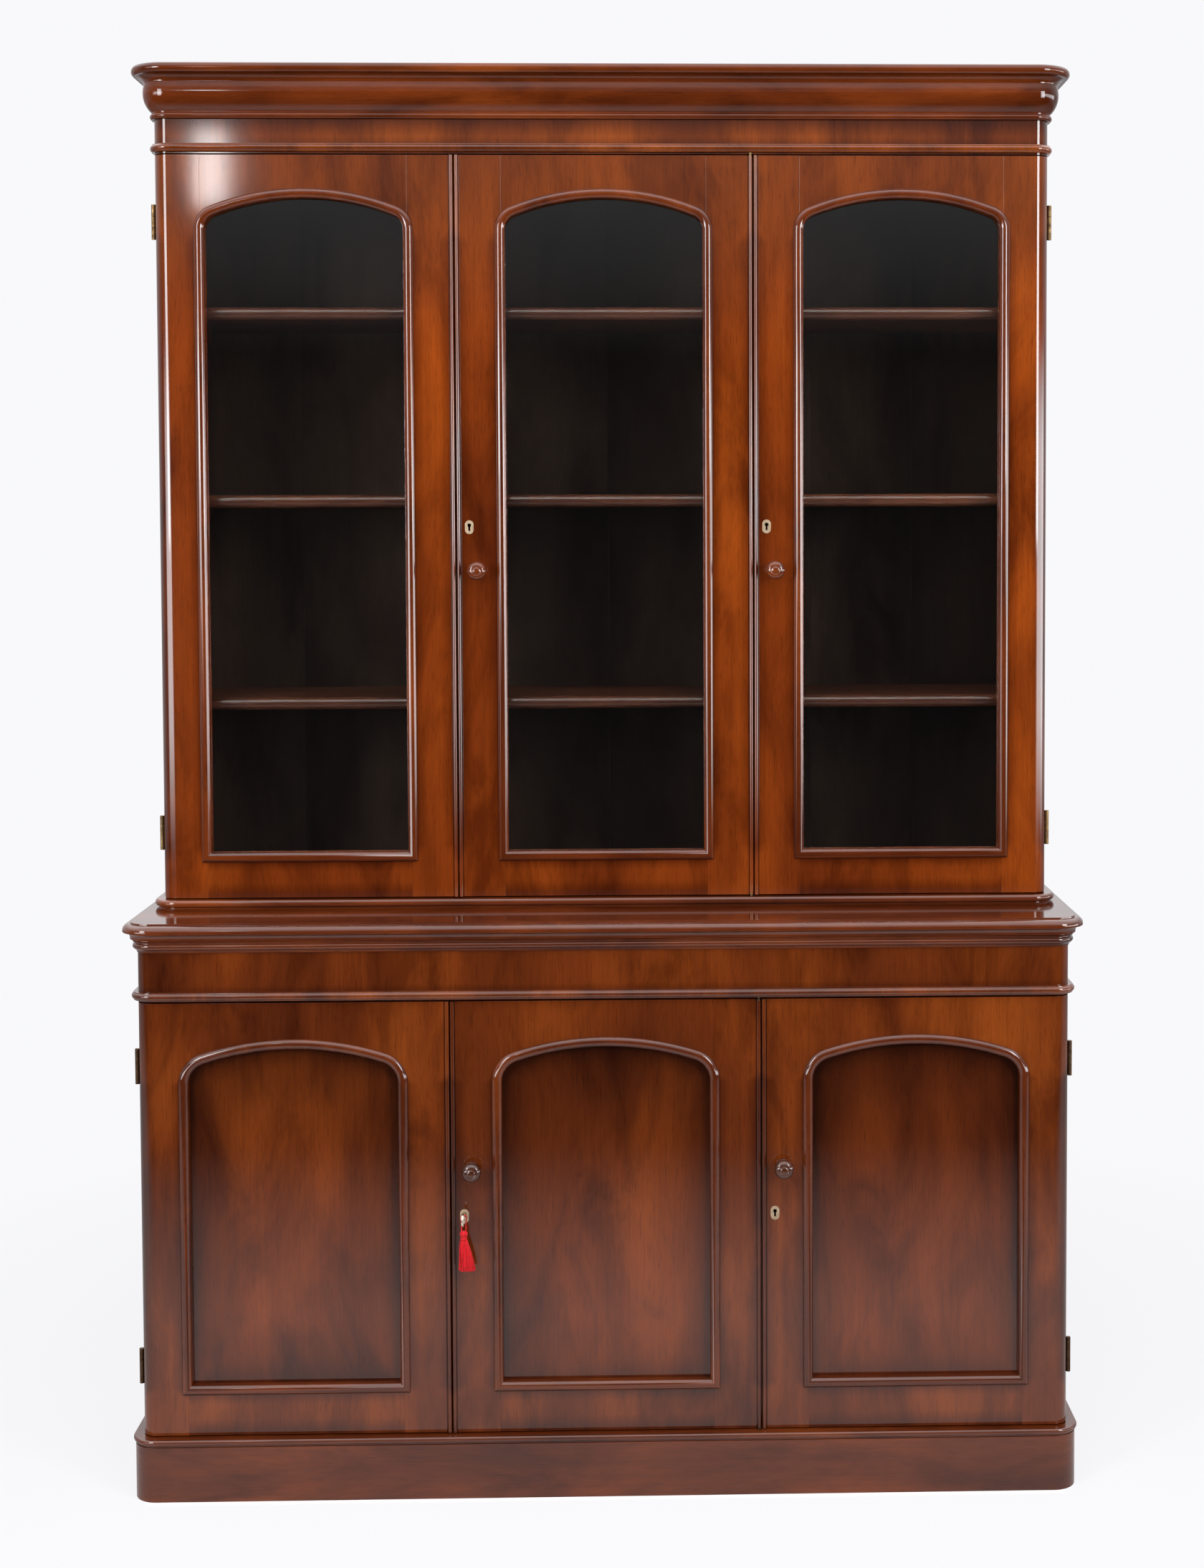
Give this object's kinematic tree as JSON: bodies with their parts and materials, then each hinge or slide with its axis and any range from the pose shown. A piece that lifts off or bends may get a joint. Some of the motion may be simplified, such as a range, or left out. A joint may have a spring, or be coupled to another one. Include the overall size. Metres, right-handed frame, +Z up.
{
  "type": "library bookcase",
  "caption": "Two-stage mahogany library bookcase with arched glazed doors above a waist moulding and arched panelled cupboard doors on a plinth.",
  "frame": {"origin": "floor level, middle of the width, half way through the whole depth from the bow of the key to the back boards", "axes": "+Z up, doors face -Y, +X to the right as seen from the front"},
  "size_m": [1.63, 0.515, 2.44],
  "materials": {
    "mahogany": "french polished, glossy",
    "moulding": "french polished, glossy",
    "flame_panel": "figured veneer, french polished",
    "back_boards": "stained, satin",
    "brass": "aged, lacquered",
    "key_steel": "worn",
    "glass": "clear pane",
    "silk": "silk strands"
  },
  "bodies": {
    "carcass": {"plinth": "mahogany", "plinth_cap": "mahogany", "base_bottom": "mahogany", "base_sides": "mahogany", "base_partition": "mahogany", "base_subtop": "mahogany", "base_frieze": "mahogany", "waist_moulding": "mahogany", "waist_top": "mahogany", "base_back": "back_boards", "base_shelves": "mahogany", "base_bearers": "mahogany", "case_foot": "mahogany", "case_bottom": "mahogany", "case_sides": "mahogany", "case_partition": "mahogany", "case_shelves": "mahogany", "case_bearers": "mahogany", "case_back": "back_boards", "case_top": "mahogany", "case_frieze": "mahogany", "cornice_moulding": "mahogany", "cornice_top": "mahogany", "carcass_brass": "brass"},
    "lower_left_door": {"lower_left_frame": "mahogany", "lower_left_mouldings": "moulding", "lower_left_panel": "flame_panel", "lower_left_brass": "brass"},
    "lower_left_top_bolt": {"lower_left_top_bolt": "brass"},
    "lower_left_foot_bolt": {"lower_left_foot_bolt": "brass"},
    "lower_middle_door": {"lower_middle_frame": "mahogany", "lower_middle_mouldings": "moulding", "lower_middle_panel": "flame_panel", "lower_middle_brass": "brass"},
    "lower_middle_lock_bolt": {"lower_middle_lock_bolt": "brass"},
    "lower_right_door": {"lower_right_frame": "mahogany", "lower_right_mouldings": "moulding", "lower_right_panel": "flame_panel", "lower_right_brass": "brass"},
    "lower_right_lock_bolt": {"lower_right_lock_bolt": "brass"},
    "upper_left_door": {"upper_left_frame": "mahogany", "upper_left_mouldings": "moulding", "upper_left_glass": "glass", "upper_left_brass": "brass"},
    "upper_left_top_bolt": {"upper_left_top_bolt": "brass"},
    "upper_left_foot_bolt": {"upper_left_foot_bolt": "brass"},
    "upper_middle_door": {"upper_middle_frame": "mahogany", "upper_middle_mouldings": "moulding", "upper_middle_glass": "glass", "upper_middle_brass": "brass"},
    "upper_middle_lock_bolt": {"upper_middle_lock_bolt": "brass"},
    "upper_right_door": {"upper_right_frame": "mahogany", "upper_right_mouldings": "moulding", "upper_right_glass": "glass", "upper_right_brass": "brass"},
    "upper_right_lock_bolt": {"upper_right_lock_bolt": "brass"},
    "key": {"key": "key_steel"},
    "tassel": {"tassel": "silk"}
  },
  "joints": [
    {"name": "lower_left_swing", "type": "hinge", "parent": "carcass", "child": "lower_left_door", "pos_m": [-0.7942, -0.186, 0.109], "axis": [0, 0, -1], "range_deg": [0, 110]},
    {"name": "lower_left_top_bolt_slide", "type": "slide", "parent": "lower_left_door", "child": "lower_left_top_bolt", "axis": [0, 0, 1], "range_m": [0, 0.014]},
    {"name": "lower_left_foot_bolt_slide", "type": "slide", "parent": "lower_left_door", "child": "lower_left_foot_bolt", "axis": [0, 0, -1], "range_m": [0, 0.014]},
    {"name": "lower_middle_swing", "type": "hinge", "parent": "carcass", "child": "lower_middle_door", "pos_m": [0.25917, -0.2125, 0.109], "axis": [0, 0, 1], "range_deg": [0, 95]},
    {"name": "lower_middle_lock_bolt_slide", "type": "slide", "parent": "lower_middle_door", "child": "lower_middle_lock_bolt", "axis": [-1, 0, 0], "range_m": [0, 0.011]},
    {"name": "lower_right_swing", "type": "hinge", "parent": "carcass", "child": "lower_right_door", "pos_m": [0.7942, -0.186, 0.109], "axis": [0, 0, 1], "range_deg": [0, 110]},
    {"name": "lower_right_lock_bolt_slide", "type": "slide", "parent": "lower_right_door", "child": "lower_right_lock_bolt", "axis": [-1, 0, 0], "range_m": [0, 0.011]},
    {"name": "upper_left_swing", "type": "hinge", "parent": "carcass", "child": "upper_left_door", "pos_m": [-0.7792, -0.04, 1.003], "axis": [0, 0, -1], "range_deg": [0, 110]},
    {"name": "upper_left_top_bolt_slide", "type": "slide", "parent": "upper_left_door", "child": "upper_left_top_bolt", "axis": [0, 0, 1], "range_m": [0, 0.014]},
    {"name": "upper_left_foot_bolt_slide", "type": "slide", "parent": "upper_left_door", "child": "upper_left_foot_bolt", "axis": [0, 0, -1], "range_m": [0, 0.014]},
    {"name": "upper_middle_swing", "type": "hinge", "parent": "carcass", "child": "upper_middle_door", "pos_m": [0.25417, -0.0665, 1.003], "axis": [0, 0, 1], "range_deg": [0, 95]},
    {"name": "upper_middle_lock_bolt_slide", "type": "slide", "parent": "upper_middle_door", "child": "upper_middle_lock_bolt", "axis": [-1, 0, 0], "range_m": [0, 0.011]},
    {"name": "upper_right_swing", "type": "hinge", "parent": "carcass", "child": "upper_right_door", "pos_m": [0.7792, -0.04, 1.003], "axis": [0, 0, 1], "range_deg": [0, 110]},
    {"name": "upper_right_lock_bolt_slide", "type": "slide", "parent": "upper_right_door", "child": "upper_right_lock_bolt", "axis": [-1, 0, 0], "range_m": [0, 0.011]},
    {"name": "key_turn", "type": "hinge", "parent": "lower_middle_door", "child": "key", "pos_m": [-0.24067, -0.2125, 0.485], "axis": [0, -1, 0], "range_deg": [0, 360]},
    {"name": "tassel_swing", "type": "hinge", "parent": "lower_middle_door", "child": "tassel", "pos_m": [-0.24067, -0.2125, 0.485], "axis": [0, 1, 0], "range_deg": [-60, 60]}
  ],
  "couplings": [
    {"joint": "lower_middle_lock_bolt_slide", "follows": "key_turn", "m_per_rad": 0.0017507}
  ]
}
